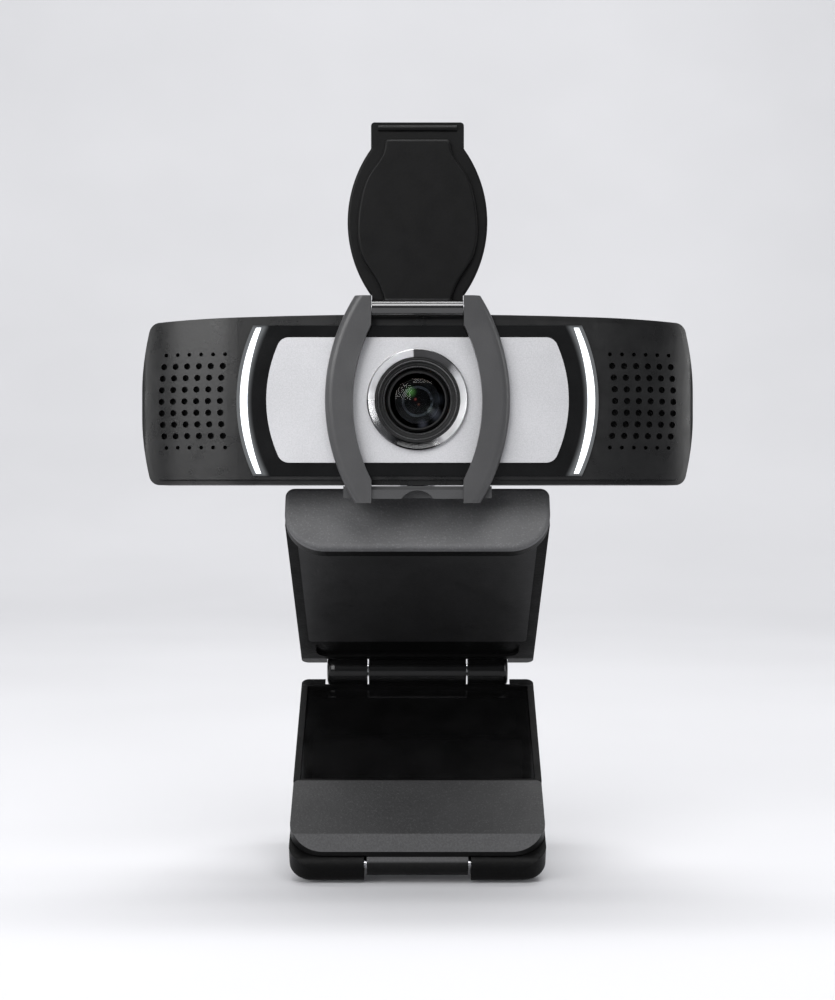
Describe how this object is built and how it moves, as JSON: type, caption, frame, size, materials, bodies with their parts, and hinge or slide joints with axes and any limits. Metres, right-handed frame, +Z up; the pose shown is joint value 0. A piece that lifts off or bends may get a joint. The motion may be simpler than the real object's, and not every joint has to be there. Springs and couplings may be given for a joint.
{
  "type": "webcam",
  "caption": "Wide webcam with lit front panel and flip-up lens shutter, on a folding clip that hooks over a monitor's edge.",
  "frame": {"origin": "centre of the seat pad's face, which rests on the monitor's top edge", "axes": "+X right seen from the front, +Y to the rear, +Z up with the camera level"},
  "size_m": [0.094, 0.0625, 0.1289],
  "materials": {
    "clip_plastic": "fine moulded texture",
    "soft_grey": "soft-touch fine grain",
    "smooth_plastic": "smooth satin",
    "shell_plastic": "satin with fine speckle",
    "gloss_black": "high gloss",
    "silver_plate": "fine satin",
    "chrome": "polished",
    "light_pipe": "glowing white diffuser",
    "lens_black": "matte black",
    "glass": "coated optical glass",
    "copper": "enamelled copper wire",
    "chip": "moulded epoxy",
    "board": "solder mask",
    "connector": "natural nylon",
    "mesh": "fine acoustic cloth",
    "rubber": "soft ribbed or stippled",
    "steel": "plain machined",
    "brass": "machined",
    "shutter_grey": "satin grey",
    "shutter_dark": "fine matte"
  },
  "bodies": {
    "top_arm": {"arm_shell": "clip_plastic", "arm_cover": "clip_plastic", "seat_pad": "rubber", "lip_pad": "rubber", "lip_cover": "soft_grey", "arm_screws": "steel", "leg_hinge_pin": "steel", "tilt_bracket": "steel", "tilt_pin": "steel"},
    "leg": {"leg_shell": "clip_plastic", "leg_cover": "smooth_plastic", "leg_screws": "steel", "tripod_insert": "brass", "foot_hinge_pin": "steel"},
    "foot": {"foot_plate": "soft_grey", "foot_pad": "soft_grey"},
    "neck": {"neck_bracket": "steel", "swivel_washer": "steel", "swivel_screw": "steel"},
    "head": {"head_rear_shell": "shell_plastic", "head_front_cover": "shell_plastic", "mic_mesh": "mesh", "microphones": "chip", "front_panel": "gloss_black", "light_pipe_left": "light_pipe", "light_pipe_right": "light_pipe", "led_boards": "board", "face_plate": "silver_plate", "lens_ring": "chrome", "lens_tunnel": "lens_black", "lens_holder": "lens_black", "image_sensor": "chip", "main_board": "board", "processor_chip": "chip", "cable_connector": "connector", "board_screws": "steel", "shell_screws": "steel", "cable_gland": "rubber", "shutter_frame": "shutter_grey", "shutter_pads": "rubber", "shutter_pin": "steel"},
    "lens": {"lens_barrel": "lens_black", "front_lens": "glass", "inner_lenses": "glass", "focus_coil": "copper"},
    "flap": {"shutter_flap": "shutter_dark"}
  },
  "joints": [
    {"name": "leg_hinge", "type": "hinge", "parent": "top_arm", "child": "leg", "pos_m": [0, 0.03599, -0.02126], "axis": [1, 0, 0], "range_deg": [-61.8, 118]},
    {"name": "foot_hinge", "type": "hinge", "parent": "leg", "child": "foot", "pos_m": [0, -0.00424, -0.05131], "axis": [1, 0, 0], "range_deg": [0, 90]},
    {"name": "head_tilt", "type": "hinge", "parent": "top_arm", "child": "neck", "pos_m": [0, -0.00447, 0.01118], "axis": [1, 0, 0], "range_deg": [-50, 0]},
    {"name": "head_swivel", "type": "hinge", "parent": "neck", "child": "head", "pos_m": [0, -0.00647, 0.01118], "axis": [0, 0, 1], "range_deg": [-15, 15]},
    {"name": "flap_hinge", "type": "hinge", "parent": "head", "child": "flap", "pos_m": [0, -0.02157, 0.04374], "axis": [1, 0, 0], "range_deg": [0, 180]},
    {"name": "lens_focus", "type": "slide", "parent": "head", "child": "lens", "axis": [0, -1, 0], "range_m": [0, 0.0003]}
  ]
}
